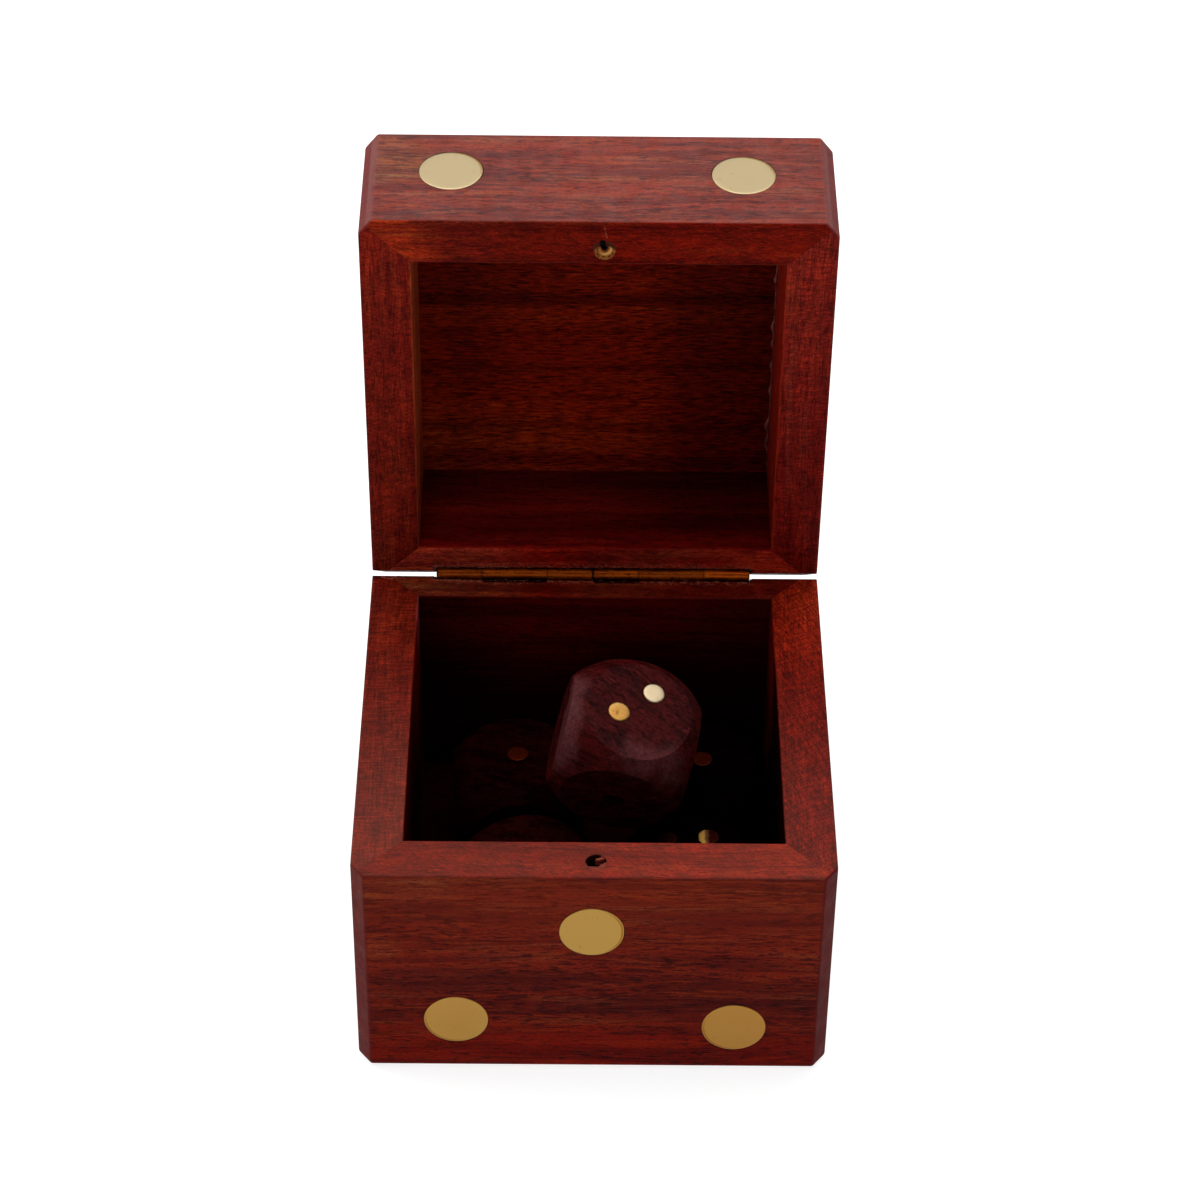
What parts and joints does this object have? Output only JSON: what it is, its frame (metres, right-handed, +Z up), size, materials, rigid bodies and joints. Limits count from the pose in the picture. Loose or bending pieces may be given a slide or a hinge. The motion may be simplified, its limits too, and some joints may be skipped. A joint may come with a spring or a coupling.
{
  "type": "dice box with hinged lid",
  "caption": "Small square hardwood box with a hinged lid, flush brass discs set out like the spots of a die, and loose wooden dice inside.",
  "frame": {"origin": "centre of the box's footprint, on its underside", "axes": "+X to the right, +Y to the back where the hinges are, +Z up"},
  "size_m": [0.0636, 0.0824, 0.0984],
  "materials": {
    "box_wood": "oiled reddish-brown rosewood",
    "panel_wood": "oiled dark rosewood panel",
    "dice_wood": "oiled rosewood with rounded corners",
    "disc_brass": "satin, ground flush with the wood",
    "pip_brass": "satin, flush",
    "hinge_brass": "aged, dull"
  },
  "bodies": {
    "base": {"base_front_wall": "box_wood", "base_back_wall": "box_wood", "base_left_wall": "box_wood", "base_right_wall": "box_wood", "base_floor": "panel_wood", "base_front_discs": "disc_brass", "base_back_discs": "disc_brass", "base_left_discs": "disc_brass", "base_right_discs": "disc_brass", "left_hinge_base_leaf": "hinge_brass", "right_hinge_base_leaf": "hinge_brass", "left_hinge_pin": "hinge_brass", "right_hinge_pin": "hinge_brass", "base_leaf_nails": "hinge_brass", "die_back_left": "dice_wood", "die_back_right": "dice_wood", "die_front_left": "dice_wood", "die_front_right": "dice_wood", "die_back_left_pips": "pip_brass", "die_back_right_pips": "pip_brass", "die_front_left_pips": "pip_brass", "die_front_right_pips": "pip_brass"},
    "lid": {"lid_front_wall": "box_wood", "lid_back_wall": "box_wood", "lid_left_wall": "box_wood", "lid_right_wall": "box_wood", "lid_top_panel": "panel_wood", "lid_front_discs": "disc_brass", "lid_back_discs": "disc_brass", "lid_left_discs": "disc_brass", "lid_right_discs": "disc_brass", "lid_top_discs": "disc_brass", "left_hinge_lid_leaf": "hinge_brass", "right_hinge_lid_leaf": "hinge_brass", "lid_leaf_nails": "hinge_brass"},
    "die_top": {"die_top": "dice_wood", "die_top_pips": "pip_brass"}
  },
  "joints": [
    {"name": "lid_hinge", "type": "hinge", "parent": "base", "child": "lid", "pos_m": [0, 0.0299, 0.03606], "axis": [1, 0, 0], "range_deg": [0, 88]},
    {"name": "die_top_lift", "type": "slide", "parent": "base", "child": "die_top", "axis": [0, 0, 1], "range_m": [0, 0.007]}
  ]
}
